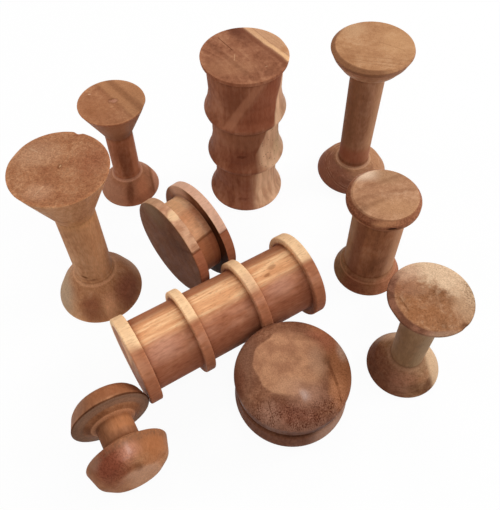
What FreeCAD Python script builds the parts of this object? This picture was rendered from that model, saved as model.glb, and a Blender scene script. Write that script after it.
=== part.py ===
import FreeCAD, Part

import math
import os

os.makedirs("parts", exist_ok=True)

# A set of ten hardwood ribbon spools. Each spool is one piece of wood, turned on a lathe:
# a foot and a head that keep the ribbon in, and a spindle or barrel between them that the
# ribbon is wound on. Nothing is bored, screwed or glued. Seven spools stand on their foot
# and three lie on their rims. Millimetres, +Z up, the bench top is Z = 0.

V = FreeCAD.Vector
UP = V(0, 0, 1)

# ---- what all the spools share -------------------------------------------------------
SHORTEST = 0.02    # a rounding that would take less than this of an edge is left out
ROOM = 0.49        # share of an edge that the rounding at either end may take
# Rounding radii, from an edge that was only touched with sandpaper to a full curve.
CRISP = 0.4
EASED = 1.0
CORNER = 1.5       # inside corner left by the gouge
SOFT = 3.0
ROUND = 6.0
FULL = 12.0
SPACING = 0.4      # air between two spools that lean towards each other
STEP = 1.0         # how far a spool is moved at a time when it stands in another's way
APPROACHES = 3     # moves in which a spool is brought up to its neighbour

# ---- large cone spool: two wide cones on a long spindle --------------------------------
LARGE_CONE_HEIGHT = 127.0
LARGE_CONE_TOP_D = 59.0
LARGE_CONE_CUP_H = 38.0          # depth of the cone under the top
LARGE_CONE_SPINDLE_D = 25.4
LARGE_CONE_COLLAR_D = 26.6
LARGE_CONE_COLLAR_H = 1.2
LARGE_CONE_FOOT_H = 26.5
LARGE_CONE_FOOT_D = 59.0         # its widest ring, just above the bench
LARGE_CONE_FOOT_WIDEST_H = 0.9
LARGE_CONE_BASE_D = 57.4
LARGE_CONE_SHOULDER_D = 48.8
LARGE_CONE_SHOULDER_H = 12.0
LARGE_CONE_AT = (-106.5, 246.3)

# ---- small cone spool: the same idea, two thirds the size ------------------------------
SMALL_CONE_HEIGHT = 89.5
SMALL_CONE_TOP_D = 48.6
SMALL_CONE_CUP_H = 28.0
SMALL_CONE_SPINDLE_D = 20.6
SMALL_CONE_COLLAR_D = 21.6
SMALL_CONE_COLLAR_H = 1.8
SMALL_CONE_FOOT_H = 19.8
SMALL_CONE_FOOT_D = 47.4
SMALL_CONE_FOOT_WIDEST_H = 1.8
SMALL_CONE_BASE_D = 41.6
SMALL_CONE_SHOULDER_D = 39.8
SMALL_CONE_SHOULDER_H = 9.6
SMALL_CONE_AT = (-94.8, 344.4)

# ---- three-bay spool: a column of three bells, like a piece of bamboo -------------------
BELL_HEIGHT = 128.0
BELL_LIP_D = 59.4
BELL_LIP_H = 3.0
BELL_BAY_H = 41.2                # from one bell's lower edge to the next one's
BELL_SKIRT_D = (57.4, 57.6, 58.8)    # widest ring of the lower, middle and upper bell
BELL_NECK_D = (46.4, 48.6, 50.6)     # lower, middle and upper neck
BELL_SKIRT_H = 3.0               # height of that widest ring above the bell's lower edge
BELL_FLARE_H = 19.0              # height over which a bell narrows to its neck
BELL_FLARE_SAG = 0.38            # share of the narrowing still left halfway up, below 0.5 is hollow
BELL_UNDERCUT_H = 3.6            # how far the gouge went in under a skirt
BELL_EDGE_SET = 1.0              # the skirt's lower edge is this much inside its widest ring
BELL_AT = (-0.4, 344.6)

# ---- tall dished spool: cup-shaped head on a long spindle -------------------------------
TALL_DISHED_HEIGHT = 124.0
TALL_DISHED_RIM_D = 57.4
TALL_DISHED_FACE_D = 55.0
TALL_DISHED_BEVEL_H = 1.4
TALL_DISHED_CUP_D = 40.8         # where the cup meets the cove above the spindle
TALL_DISHED_CUP_H = 15.0
TALL_DISHED_COVE_H = 4.0
TALL_DISHED_SPINDLE_D = 25.0
TALL_DISHED_WAIST_D = 23.4
TALL_DISHED_WAIST_H = 21.8
TALL_DISHED_COLLAR_H = 3.8
TALL_DISHED_FOOT_D = 56.6
TALL_DISHED_FOOT_WIDEST_H = 4.6
TALL_DISHED_BASE_D = 51.0
TALL_DISHED_SHOULDER_D = 43.4
TALL_DISHED_SHOULDER_H = 15.0
TALL_DISHED_AT = (86.4, 357.3)

# ---- stout spool: thick spindle, bevelled head ------------------------------------------
STOUT_HEIGHT = 85.0
STOUT_FACE_D = 42.0
STOUT_RIM_D = 48.2
STOUT_BEVEL_H = 3.4
STOUT_RIM_H = 4.2
STOUT_HEAD_H = 14.8
STOUT_SPINDLE_D = 35.0
STOUT_COLLAR_D = 39.0
STOUT_FOOT_H = 14.4
STOUT_COVE_H = 2.6
STOUT_FOOT_D = 47.8
STOUT_BASE_D = 46.0
STOUT_SHOULDER_D = 41.4
STOUT_SHOULDER_H = 8.8
STOUT_AT = (87.3, 259.8)

# ---- short dished spool -----------------------------------------------------------------
SHORT_DISHED_HEIGHT = 86.5
SHORT_DISHED_RIM_D = 49.0
SHORT_DISHED_CROWN_H = 0.4       # the top swells by this much towards its middle
SHORT_DISHED_LIP_D = 43.0        # where the cup turns out into the thin rim
SHORT_DISHED_LIP_H = 3.8
SHORT_DISHED_CUP_D = 34.8
SHORT_DISHED_CUP_H = 12.6
SHORT_DISHED_COVE_H = 5.6
SHORT_DISHED_SPINDLE_D = 22.8
SHORT_DISHED_WAIST_D = 20.8
SHORT_DISHED_FOOT_H = 18.0
SHORT_DISHED_FOOT_D = 47.8
SHORT_DISHED_BASE_D = 45.6
SHORT_DISHED_SHOULDER_D = 38.2
SHORT_DISHED_SHOULDER_H = 10.5
SHORT_DISHED_AT = (102.0, 182.4)

# ---- double dome spool: two fat domed discs with a narrow groove between them -------------
DOME_HEIGHT = 51.8
DOME_D = 71.6
DOME_WIDEST_DROP = 8.8           # the widest ring lies this far in from each end
DOME_FACE_D = 48.8               # where the face turns down into the rounded side
DOME_FACE_DROP = 5.1
DOME_LIP_D = 67.4
DOME_GROOVE_D = 52.4
DOME_GROOVE_W = 5.0
DOME_FOOT_FLAT_D = 44.0          # the lower face was turned flat in the middle, to stand on
DOME_ALONG = 78.5                # station along the four-ring spool that it stands beside

# ---- disc spool: two plain discs on a fat hub, lying on its rims -------------------------
DISC_D = 72.0
DISC_HUB_D = 55.6
DISC_T = 7.0
DISC_BAY_W = 16.2
DISC_TURN = 8.9                  # its axis makes this angle with the four-ring spool's, degrees
DISC_ALONG = 59.3                # station along the four-ring spool where its near face stands

# ---- four-ring spool: a barrel with three bays, lying on its end rings --------------------
RINGED_END_D = 58.4
RINGED_RING_D = 57.2
RINGED_BARREL_D = 47.4
RINGED_END_T = 8.0
RINGED_RING_T = (6.5, 7.1)
RINGED_BAY_W = (31.0, 35.6, 32.3)
RINGED_HEADING = 30.8            # direction of its axis on the bench, degrees from +X
RINGED_AT = (-73.8, 173.1)       # centre of its near end

# ---- dome-ended spool: a domed disc on each end of a short spindle, lying on its rims -------
DOMED_END_D = 49.6
DOMED_FAR_DOME_H = 13.4          # from the far dome's face to its rim
DOMED_NEAR_DOME_H = 16.0
DOMED_FAR_FACE_D = 35.0
DOMED_NEAR_FACE_D = 28.4
DOMED_BACK_D = 36.4
DOMED_FAR_BACK_H = 1.1           # how far the back of a disc slopes in from rim to cove
DOMED_NEAR_BACK_H = 3.2
DOMED_BELLY_D = 42.6             # ring where a dome's face turns down to its rim
DOMED_BELLY_SHARE = 0.32         # how far down the dome that ring lies
DOMED_COVE_H = 3.0
DOMED_SPINDLE_D = 22.2
DOMED_SPINDLE_L = 13.8
DOMED_TURN = -92.2               # its axis against the four-ring spool's, degrees
DOMED_ACROSS = -11.7             # how far its far face stands off the four-ring spool's axis


def rounded(corners):
    """Edges of an outline through (radius, height, rounding) corners, joined by tangent arcs."""
    points = [V(r, 0, h) for r, h, _ in corners]
    edges = []
    start = points[0]
    for i in range(1, len(corners) - 1):
        corner, rounding = points[i], corners[i][2]
        back, ahead = points[i - 1] - corner, points[i + 1] - corner
        half = back.getAngle(ahead) / 2
        room = ROOM * min(back.Length, ahead.Length)
        reach = min(rounding / math.tan(half), room) if rounding > 0 else 0
        back.normalize()
        ahead.normalize()
        if reach < SHORTEST:
            edges.append(Part.makeLine(start, corner))
            start = corner
            continue
        radius = reach * math.tan(half)
        inward = (back + ahead).normalize()
        middle = corner + inward * (radius / math.sin(half) - radius)
        first, last = corner + back * reach, corner + ahead * reach
        edges.append(Part.makeLine(start, first))
        edges.append(Part.Arc(first, middle, last).toShape())
        start = last
    edges.append(Part.makeLine(start, points[-1]))
    return edges


def turned(corners):
    """A spool turned from its outline, which runs from the axis at the foot to the axis at the head."""
    edges = rounded([(0, corners[0][1], 0)] + corners + [(0, corners[-1][1], 0)])
    foot, head = V(0, 0, corners[0][1]), V(0, 0, corners[-1][1])
    section = Part.Face(Part.Wire(edges + [Part.makeLine(head, foot)]))
    solid = section.revolve(V(0, 0, 0), UP, 360)
    return solid.Solids[0] if solid.Solids else Part.Solid(solid)


# ---- the ten outlines, from foot to head ---------------------------------------------------
def cone_spool(height, top_d, cup_h, spindle_d, collar_d, collar_h,
               foot_h, foot_d, foot_widest_h, base_d, shoulder_d, shoulder_h):
    return [
        (base_d / 2, 0, SOFT),
        (foot_d / 2, foot_widest_h, ROUND),
        (shoulder_d / 2, shoulder_h, ROUND),
        (collar_d / 2, foot_h, EASED),
        (collar_d / 2, foot_h + collar_h, EASED),
        (spindle_d / 2, foot_h + 2 * collar_h, EASED),
        (spindle_d / 2, height - cup_h, SOFT),
        (top_d / 2, height, CRISP),
    ]


def large_cone_spool():
    return cone_spool(LARGE_CONE_HEIGHT, LARGE_CONE_TOP_D, LARGE_CONE_CUP_H, LARGE_CONE_SPINDLE_D,
                      LARGE_CONE_COLLAR_D, LARGE_CONE_COLLAR_H, LARGE_CONE_FOOT_H,
                      LARGE_CONE_FOOT_D, LARGE_CONE_FOOT_WIDEST_H, LARGE_CONE_BASE_D,
                      LARGE_CONE_SHOULDER_D, LARGE_CONE_SHOULDER_H)


def small_cone_spool():
    return cone_spool(SMALL_CONE_HEIGHT, SMALL_CONE_TOP_D, SMALL_CONE_CUP_H, SMALL_CONE_SPINDLE_D,
                      SMALL_CONE_COLLAR_D, SMALL_CONE_COLLAR_H, SMALL_CONE_FOOT_H,
                      SMALL_CONE_FOOT_D, SMALL_CONE_FOOT_WIDEST_H, SMALL_CONE_BASE_D,
                      SMALL_CONE_SHOULDER_D, SMALL_CONE_SHOULDER_H)


def three_bay_spool():
    outline = []
    for bell, (skirt_d, neck_d) in enumerate(zip(BELL_SKIRT_D, BELL_NECK_D)):
        bottom = bell * BELL_BAY_H
        halfway = neck_d / 2 + BELL_FLARE_SAG * (skirt_d - neck_d) / 2
        outline += [
            (skirt_d / 2 - BELL_EDGE_SET, bottom, EASED),
            (skirt_d / 2, bottom + BELL_SKIRT_H, SOFT),
            (halfway, bottom + BELL_FLARE_H / 2, FULL),
            (neck_d / 2, bottom + BELL_FLARE_H, FULL),
        ]
        if bell + 1 < len(BELL_NECK_D):
            outline.append((neck_d / 2, bottom + BELL_BAY_H - BELL_UNDERCUT_H, EASED))
    neck = BELL_NECK_D[-1] / 2 + EASED
    outline += [
        (neck, BELL_HEIGHT - BELL_LIP_H - EASED, CORNER),
        (BELL_LIP_D / 2 - CRISP, BELL_HEIGHT - BELL_LIP_H, EASED),
        (BELL_LIP_D / 2, BELL_HEIGHT, CRISP),
    ]
    return outline


def tall_dished_spool():
    cup = TALL_DISHED_HEIGHT - TALL_DISHED_CUP_H
    belly = (TALL_DISHED_CUP_D + 2 * TALL_DISHED_RIM_D) / 3
    return [
        (TALL_DISHED_BASE_D / 2, 0, SOFT),
        (TALL_DISHED_FOOT_D / 2, TALL_DISHED_FOOT_WIDEST_H, ROUND),
        (TALL_DISHED_SHOULDER_D / 2, TALL_DISHED_SHOULDER_H, ROUND),
        (TALL_DISHED_SPINDLE_D / 2, TALL_DISHED_WAIST_H - TALL_DISHED_COLLAR_H, EASED),
        (TALL_DISHED_WAIST_D / 2, TALL_DISHED_WAIST_H, EASED),
        (TALL_DISHED_SPINDLE_D / 2, cup - TALL_DISHED_COVE_H, SOFT),
        (TALL_DISHED_CUP_D / 2, cup, ROUND),
        (belly / 2, cup + TALL_DISHED_CUP_H / 2, ROUND),
        (TALL_DISHED_RIM_D / 2, TALL_DISHED_HEIGHT - TALL_DISHED_BEVEL_H, EASED),
        (TALL_DISHED_FACE_D / 2, TALL_DISHED_HEIGHT, CRISP),
    ]


def stout_spool():
    bevel = STOUT_HEIGHT - STOUT_BEVEL_H
    return [
        (STOUT_BASE_D / 2, 0, SOFT),
        (STOUT_FOOT_D / 2, CORNER, SOFT),
        (STOUT_SHOULDER_D / 2, STOUT_SHOULDER_H, SOFT),
        (STOUT_COLLAR_D / 2, STOUT_FOOT_H - STOUT_COVE_H, EASED),
        (STOUT_SPINDLE_D / 2, STOUT_FOOT_H, EASED),
        (STOUT_SPINDLE_D / 2, STOUT_HEIGHT - STOUT_HEAD_H, SOFT),
        (STOUT_RIM_D / 2, bevel - STOUT_RIM_H, SOFT),
        (STOUT_RIM_D / 2, bevel, CORNER),
        (STOUT_FACE_D / 2, STOUT_HEIGHT, CRISP),
    ]


def short_dished_spool():
    cup = SHORT_DISHED_HEIGHT - SHORT_DISHED_CUP_H
    rim = SHORT_DISHED_HEIGHT - SHORT_DISHED_CROWN_H
    return [
        (SHORT_DISHED_BASE_D / 2, 0, SOFT),
        (SHORT_DISHED_FOOT_D / 2, CORNER, SOFT),
        (SHORT_DISHED_SHOULDER_D / 2, SHORT_DISHED_SHOULDER_H, ROUND),
        (SHORT_DISHED_WAIST_D / 2 + EASED, SHORT_DISHED_FOOT_H - EASED, EASED),
        (SHORT_DISHED_WAIST_D / 2, SHORT_DISHED_FOOT_H, EASED),
        (SHORT_DISHED_SPINDLE_D / 2, cup - SHORT_DISHED_COVE_H, SOFT),
        (SHORT_DISHED_CUP_D / 2, cup, ROUND),
        (SHORT_DISHED_LIP_D / 2, SHORT_DISHED_HEIGHT - SHORT_DISHED_LIP_H, SOFT),
        (SHORT_DISHED_RIM_D / 2, rim - EASED, CRISP),
        (SHORT_DISHED_RIM_D / 2 - CRISP, rim, CRISP),
        (SHORT_DISHED_SPINDLE_D / 2, SHORT_DISHED_HEIGHT, FULL),
    ]


def double_dome_spool():
    low, high = (DOME_HEIGHT - DOME_GROOVE_W) / 2, (DOME_HEIGHT + DOME_GROOVE_W) / 2
    return [
        (DOME_FOOT_FLAT_D / 2, 0, SOFT),
        (DOME_D / 2, DOME_WIDEST_DROP, FULL),
        (DOME_LIP_D / 2, low, CORNER),
        (DOME_GROOVE_D / 2, low, CORNER),
        (DOME_GROOVE_D / 2, high, CORNER),
        (DOME_LIP_D / 2, high, CORNER),
        (DOME_D / 2, DOME_HEIGHT - DOME_WIDEST_DROP, FULL),
        (DOME_FACE_D / 2, DOME_HEIGHT - DOME_FACE_DROP, FULL),
        (ROUND, DOME_HEIGHT, FULL),
    ]


def disc_spool():
    bay, far = DISC_T, DISC_T + DISC_BAY_W
    return [
        (DISC_D / 2, 0, EASED),
        (DISC_D / 2, bay, CRISP),
        (DISC_HUB_D / 2, bay, EASED),
        (DISC_HUB_D / 2, far, EASED),
        (DISC_D / 2, far, CRISP),
        (DISC_D / 2, far + DISC_T, EASED),
    ]


def ringed_stations():
    """(start, end, diameter) of each of the four rings along the axis."""
    rings = []
    start = 0.0
    widths = (RINGED_END_T,) + RINGED_RING_T + (RINGED_END_T,)
    for i, width in enumerate(widths):
        diameter = RINGED_END_D if i in (0, len(widths) - 1) else RINGED_RING_D
        rings.append((start, start + width, diameter))
        if i < len(RINGED_BAY_W):
            start += width + RINGED_BAY_W[i]
    return rings


def four_ring_spool():
    outline = []
    rings = ringed_stations()
    for i, (start, end, diameter) in enumerate(rings):
        if i > 0:
            outline.append((RINGED_BARREL_D / 2, start, CRISP))
        outline += [(diameter / 2, start, EASED), (diameter / 2, end, EASED)]
        if i + 1 < len(rings):
            outline.append((RINGED_BARREL_D / 2, end, CRISP))
    return outline


def domed_end(face_d, dome_h, back_h):
    """(radius, station, rounding) corners of one end, stations counted from its own face."""
    return [
        (face_d / 2, 0, ROUND),
        (DOMED_BELLY_D / 2, DOMED_BELLY_SHARE * dome_h, ROUND),
        (DOMED_END_D / 2, dome_h, EASED),
        (DOMED_BACK_D / 2, dome_h + back_h, SOFT),
        (DOMED_SPINDLE_D / 2, dome_h + back_h + DOMED_COVE_H, CORNER),
    ]


def dome_ended_spool():
    far = domed_end(DOMED_FAR_FACE_D, DOMED_FAR_DOME_H, DOMED_FAR_BACK_H)
    near = domed_end(DOMED_NEAR_FACE_D, DOMED_NEAR_DOME_H, DOMED_NEAR_BACK_H)
    length = far[-1][1] + DOMED_SPINDLE_L + near[-1][1]
    return far + [(radius, length - station, rounding) for radius, station, rounding in near[::-1]]


# ---- the layout on the bench ----------------------------------------------------------------
def lay(outline, heading, place):
    """Lay a spool on its widest rims, its axis level and pointing along the heading."""
    shape = turned(outline)
    shape.rotate(V(0, 0, 0), V(0, 1, 0), 90)
    shape.rotate(V(0, 0, 0), UP, heading)
    shape.translate(V(place.x, place.y, -shape.optimalBoundingBox(False).ZMin))
    return shape


def lean(shape, neighbour, toward):
    """Bring a spool up to its neighbour until only SPACING is left between the two."""
    for _ in range(APPROACHES):
        gap = shape.distToShape(neighbour)[0]
        shape.translate(toward * (gap - SPACING))
    return shape


def in_the_way(shape):
    """Whether a spool that already has its place comes nearer to this one than SPACING."""
    around = shape.BoundBox
    around.enlarge(SPACING)
    near = [other for other in spools.values() if other.BoundBox.intersect(around)]
    return any(shape.distToShape(other)[0] < SPACING for other in near)


def stand(outline, place):
    """Stand a spool on its foot, stepped outwards while another spool is in its way."""
    shape = turned(outline)
    shape.translate(V(*place))
    outwards = (V(*place) - MIDDLE).normalize()
    while in_the_way(shape):
        shape.translate(outwards * STEP)
    return shape


# Everything is placed from the four-ring spool: AHEAD runs along its axis and LEFT across it.
turn = math.radians(RINGED_HEADING)
AHEAD, LEFT = V(math.cos(turn), math.sin(turn), 0), V(-math.sin(turn), math.cos(turn), 0)
NEAR_END = V(*RINGED_AT)
MIDDLE = NEAR_END + AHEAD * (ringed_stations()[-1][1] / 2)
FAR_OFF = RINGED_END_D + DISC_D + DOME_D       # well clear of it, to be brought up from there

spools = {"four_ring_spool": lay(four_ring_spool(), RINGED_HEADING, NEAR_END)}
neighbour = spools["four_ring_spool"]

disc = lay(disc_spool(), RINGED_HEADING + DISC_TURN, NEAR_END + AHEAD * DISC_ALONG + LEFT * FAR_OFF)
spools["disc_spool"] = lean(disc, neighbour, -LEFT)

dome = turned(double_dome_spool())
dome.translate(NEAR_END + AHEAD * DOME_ALONG - LEFT * FAR_OFF)
spools["double_dome_spool"] = lean(dome, neighbour, LEFT)

domed = lay(dome_ended_spool(), RINGED_HEADING + DOMED_TURN,
            NEAR_END + LEFT * DOMED_ACROSS - AHEAD * FAR_OFF)
spools["dome_ended_spool"] = lean(domed, neighbour, AHEAD)

for name, outline, place in (
    ("large_cone_spool", large_cone_spool(), LARGE_CONE_AT),
    ("small_cone_spool", small_cone_spool(), SMALL_CONE_AT),
    ("three_bay_spool", three_bay_spool(), BELL_AT),
    ("tall_dished_spool", tall_dished_spool(), TALL_DISHED_AT),
    ("stout_spool", stout_spool(), STOUT_AT),
    ("short_dished_spool", short_dished_spool(), SHORT_DISHED_AT),
):
    spools[name] = stand(outline, place)

# The origin is on the bench, under the middle of the whole set.
box = Part.makeCompound(list(spools.values())).optimalBoundingBox(False)
for name, shape in spools.items():
    shape.translate(V(-box.Center.x, -box.Center.y, -box.ZMin))
    shape.exportStep(f"parts/{name}.step")
    around = shape.optimalBoundingBox(False)
    print(f"{name}: {around.XLength:.1f} x {around.YLength:.1f} x {around.ZLength:.1f} mm,"
          f" middle ({around.Center.x:.2f}, {around.Center.y:.2f}),"
          f" {shape.Volume / 1000:.0f} cm3, valid {shape.isValid()}")
print(f"whole set: {box.XLength:.1f} x {box.YLength:.1f} x {box.ZLength:.1f} mm")
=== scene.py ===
# %% [markdown]
# # A family of turned wooden spools
# Ten small spools, each turned from one piece of hardwood on a lathe: seven stand on a table and
# three lie on their sides. A spool is one body of revolution, so its whole shape is in its
# outline. This lesson spins each one from its outline, adds the faults that a hand tool and years
# of use leave, and gives each its own piece of wood. It starts with the frame: the engineering
# model, whose nodes say where each spool is and how large it is.

# %% The frame
import math
import bmesh
import bpy
from mathutils import Matrix, Vector


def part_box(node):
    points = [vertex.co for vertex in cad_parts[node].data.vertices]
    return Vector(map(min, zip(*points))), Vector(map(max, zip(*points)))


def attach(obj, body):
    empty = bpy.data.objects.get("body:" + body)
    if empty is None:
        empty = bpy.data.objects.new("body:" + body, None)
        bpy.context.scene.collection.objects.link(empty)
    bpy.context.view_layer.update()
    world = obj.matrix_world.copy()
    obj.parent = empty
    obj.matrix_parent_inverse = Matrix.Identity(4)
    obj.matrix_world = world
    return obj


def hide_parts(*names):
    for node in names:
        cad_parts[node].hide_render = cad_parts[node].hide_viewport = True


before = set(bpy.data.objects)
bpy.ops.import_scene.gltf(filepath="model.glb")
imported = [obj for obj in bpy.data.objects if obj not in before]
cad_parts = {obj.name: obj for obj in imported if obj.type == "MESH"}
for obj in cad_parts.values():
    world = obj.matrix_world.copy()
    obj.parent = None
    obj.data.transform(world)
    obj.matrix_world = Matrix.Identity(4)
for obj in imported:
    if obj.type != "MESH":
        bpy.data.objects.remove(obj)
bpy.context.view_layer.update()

MM = 0.001

# %% [markdown]
# ## Where each spool sits
# A lathe works about one line, the axis between its centres, and a turned piece is measured
# along it and square to it. So each spool gets a seat: a matrix from the lathe's own millimetres
# to the room. A standing spool's axis is upright. A lying spool's axis is level and points along
# a heading, and its own x is straight up. The same seats place the grain later.

# %% Seats
HEADINGS = {"disc_spool": 39.7, "four_ring_spool": 30.8, "dome_ended_spool": -61.4}
SAME_PLACE = 2e-6


def seat_of(node):
    """From millimetres on the lathe, z along the axis, to the room's metres."""
    low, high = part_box(node)
    if node not in HEADINGS:
        foot = Vector(((low.x + high.x) / 2, (low.y + high.y) / 2, low.z))
        return Matrix.Translation(foot) @ Matrix.Scale(MM, 4)
    heading = math.radians(HEADINGS[node])
    along = Vector((math.cos(heading), math.sin(heading), 0))
    points = [v.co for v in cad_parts[node].data.vertices]
    start = min(p.dot(along) for p in points)
    end_face = [p for p in points if p.dot(along) < start + 5 * SAME_PLACE]
    across = Vector((along.y, -along.x, 0))
    sides = [p.dot(across) for p in end_face]
    heights = [p.z for p in end_face]
    foot = along * start + across * (min(sides) + max(sides)) / 2
    foot.z = (min(heights) + max(heights)) / 2
    turn = Matrix((Vector((0, 0, 1)), across, along)).transposed().to_4x4()
    return Matrix.Translation(foot) @ turn @ Matrix.Scale(MM, 4)


SEATS = {node: seat_of(node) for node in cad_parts}
for node, seat in SEATS.items():
    print(f"{node}: axis starts at", [round(c / MM, 1) for c in seat.translation])

# %% [markdown]
# ## From outline to spool
# A turner checks a spool against a template held along it. That template is the outline, and the
# frame already holds it: a copy of the solid is cut by a plane through its axis, and the cut's
# edge, from one end of the axis to the other, is the outline. Long runs get more points, because
# the dents that come later need something to move.

# %% Outline
RUN = 1.7
STRAIGHT = math.radians(0.05)


def outline_of(node):
    """Half of the section through the axis, as a wire of edges in the lathe's millimetres."""
    wire = bmesh.new()
    wire.from_mesh(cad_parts[node].data)
    half_turn = Matrix.Rotation(math.pi if node in HEADINGS else 0, 4, "Z")
    bmesh.ops.transform(wire, matrix=half_turn @ SEATS[node].inverted(), verts=wire.verts)
    bmesh.ops.remove_doubles(wire, verts=wire.verts, dist=SAME_PLACE / MM)
    whole = wire.verts[:] + wire.edges[:] + wire.faces[:]
    cut = set(bmesh.ops.bisect_plane(
        wire, geom=whole, dist=SAME_PLACE / MM, plane_co=(0, 0, 0), plane_no=(0, 1, 0))["geom_cut"])
    bmesh.ops.delete(wire, geom=[v for v in wire.verts if v not in cut], context="VERTS")
    whole = wire.verts[:] + wire.edges[:]
    bmesh.ops.bisect_plane(wire, geom=whole, dist=SAME_PLACE / MM, plane_co=(0, 0, 0),
                           plane_no=(1, 0, 0), clear_inner=True)
    bmesh.ops.dissolve_limit(wire, angle_limit=STRAIGHT, verts=wire.verts, edges=wire.edges)
    for edge in wire.edges[:]:
        cuts = int(edge.calc_length() / RUN)
        if cuts:
            bmesh.ops.subdivide_edges(wire, edges=[edge], cuts=cuts)
    return wire


# %% [markdown]
# ## Rims and hollows
# The edges that stand out are painted lighter, as polish from handling and as painted highlight,
# and the hollows are painted darker, as shade. Both follow the outline's bends, so they are worked
# out while it is only a wire: each bend counts for the points within a millimetre or two of it, as
# a rim where it stands out and as a hollow where it goes in, in full from about 46 degrees on. The
# spin carries both numbers round.

# %% Rims and hollows
REACH_OF_WEAR = 1.1
FULL_BEND = 0.8


def note_bends(wire):
    """Writes how far each outline point lies on a rim or in a hollow, from 0 to 1."""
    rim = wire.verts.layers.float.new("rim")
    hollow = wire.verts.layers.float.new("hollow")
    ends = sorted((v for v in wire.verts if len(v.link_edges) == 1), key=lambda v: v.co.z)
    walk, edge = [ends[0]], None
    while walk[-1] is not ends[1]:
        edge = next(e for e in walk[-1].link_edges if e is not edge)
        walk.append(edge.other_vert(walk[-1]))
    bends, run, places = [], 0.0, [0.0]
    for before, here, after in zip(walk, walk[1:], walk[2:]):
        into, out = here.co - before.co, after.co - here.co
        run += into.length
        places.append(run)
        turn = into.angle(out) * math.copysign(1, into.z * out.x - into.x * out.z)
        bends.append((run, turn))
    places.append(run + (walk[-1].co - walk[-2].co).length)
    for vert, place in zip(walk, places):
        near = [(turn, math.exp(-((place - at) / REACH_OF_WEAR) ** 2)) for at, turn in bends]
        vert[rim] = min(1, sum(share * -turn for turn, share in near if turn < 0) / FULL_BEND)
        vert[hollow] = min(1, sum(share * turn for turn, share in near if turn > 0) / FULL_BEND)


# %% [markdown]
# ## The spin
# A full turn of the outline about the axis makes the body. Its end points lie on the axis, so
# their copies fall together, and merging the doubles closes both ends.

# %% Spin
STEPS = 180


def spun(node):
    """The whole body of revolution, closed, in the lathe's millimetres."""
    body = outline_of(node)
    note_bends(body)
    print(f"{node}: outline of {len(body.verts)} points", end=", ")
    bmesh.ops.spin(body, geom=body.verts[:] + body.edges[:], cent=(0, 0, 0), axis=(0, 0, 1),
                   angle=2 * math.pi, steps=STEPS, use_merge=True)
    bmesh.ops.remove_doubles(body, verts=body.verts, dist=SAME_PLACE / MM)
    bmesh.ops.recalc_face_normals(body, faces=body.faces)
    open_edges = [e for e in body.edges if not e.is_manifold]
    print(f"{len(body.faces)} faces, {len(open_edges)} open edges")
    return body


# %% [markdown]
# ## Marks of the hand
# Hand tools and long use leave each spool a little off true: a chip in a rim, an edge worn flat,
# the nub where the lathe's centre held it. Each mark is a middle, a reach and a push, and moves
# the points within that reach, most at its middle. All pushes go into the wood, so neighbours
# stay clear.

# %% Hand marks
HAND_MARKS = {
    "large_cone_spool": [
        ((7.6, 28.8, 126.8), 3.2, (-0.2, -1, -0.4)), ((-27.5, 12, 127), 9, (0.35, -0.15, 0)),
        ((0, 1, 127), 1.6, (0, 0, -0.7)), ((-14, -24.8, 127), 8, (0.2, 0.3, -0.25))],
    "small_cone_spool": [
        ((0.4, 1, 89.5), 2.2, (0, 0, -0.5)), ((1.1, -4.6, 89.5), 1.2, (0, 0, -0.4)),
        ((-16.4, 8.9, 89.5), 1, (0, 0, -0.25)), ((23.5, -5, 89.5), 7, (-0.4, 0.1, 0))],
    "three_bay_spool": [
        ((-6.6, -3.5, 128), 1.4, (0, 0, -0.35)), ((14, -12.7, 128), 0.9, (0, 0, -0.3)),
        ((27, 11, 127), 8, (-0.35, -0.1, 0))],
    "short_dished_spool": [
        ((-22, -10, 84), 7, (0.35, 0.2, 0)), ((15.5, -18.5, 86), 3, (-0.2, 0.3, -0.4))],
    "dome_ended_spool": [
        ((13.5, -3, 53.3), 2.2, (-0.3, 0, -0.35)), ((5, -15, 53), 6.5, (-0.1, 0.6, -0.9))],
    "disc_spool": [((35.8, -9.5, 7), 2.2, (-0.8, 0.2, -0.2))],
}


def marked(body, node):
    """The body with its hand marks pressed in."""
    for middle, reach, push in HAND_MARKS.get(node, []):
        for vert in body.verts:
            far = (vert.co - Vector(middle)).length / reach
            if far < 1:
                vert.co += Vector(push) * (1 - far * far) ** 2
    return body


# %% [markdown]
# ## Faces cut off true
# Two of the standing spools had their ends faced by eye. The flat face sits a little to one side
# of the axis, so the bevel round it is wide on the left and runs out on the right: the face's
# points are drawn over to that side, and the outer edge is let down where the bevel is wide.

# %% Off-true faces
BEVEL_DEPTH = 3.2
OFF_TRUE = {
    # top, radius of the face, radius of the rim, shrinking of the face, shift, drop of the bevel
    "tall_dished_spool": (124, 27.5, 28.7, 0.975, (1.3, 0.7), 1.5),
    "stout_spool": (85, 21, 24.1, 0.995, (0.6, -0.3), 0.3),
}


def faced_by_eye(body, node):
    """Moves the flat face off the axis and lets the bevel down on its wide side."""
    top, face, rim, shrink, shift, drop = OFF_TRUE[node]
    shift = Vector(shift)
    for vert in body.verts:
        depth = 1 - (top - vert.co.z) / BEVEL_DEPTH
        if depth > 0:
            radius = vert.co.xy.length
            outer = min(max((radius - face) / (rim - face), 0), 1)
            wide = max(0, -vert.co.xy.dot(shift) / (rim * shift.length))
            vert.co.z -= drop * wide * outer * depth
            inner = (1 - outer) * depth
            vert.co.xy = vert.co.xy * (1 - (1 - shrink) * inner) + shift * inner
    return body


# %% [markdown]
# ## Setting the spools down
# Each finished body goes back through its seat to its own place. It stands for the frame's solid
# and moves with the same body. Weighted normals keep the broad faces flat to the eye right up to
# their small rounded edges.

# %% Setting down
def added(name, data):
    """A new object in the scene."""
    thing = bpy.data.objects.new(name, data)
    bpy.context.scene.collection.objects.link(thing)
    return thing


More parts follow.
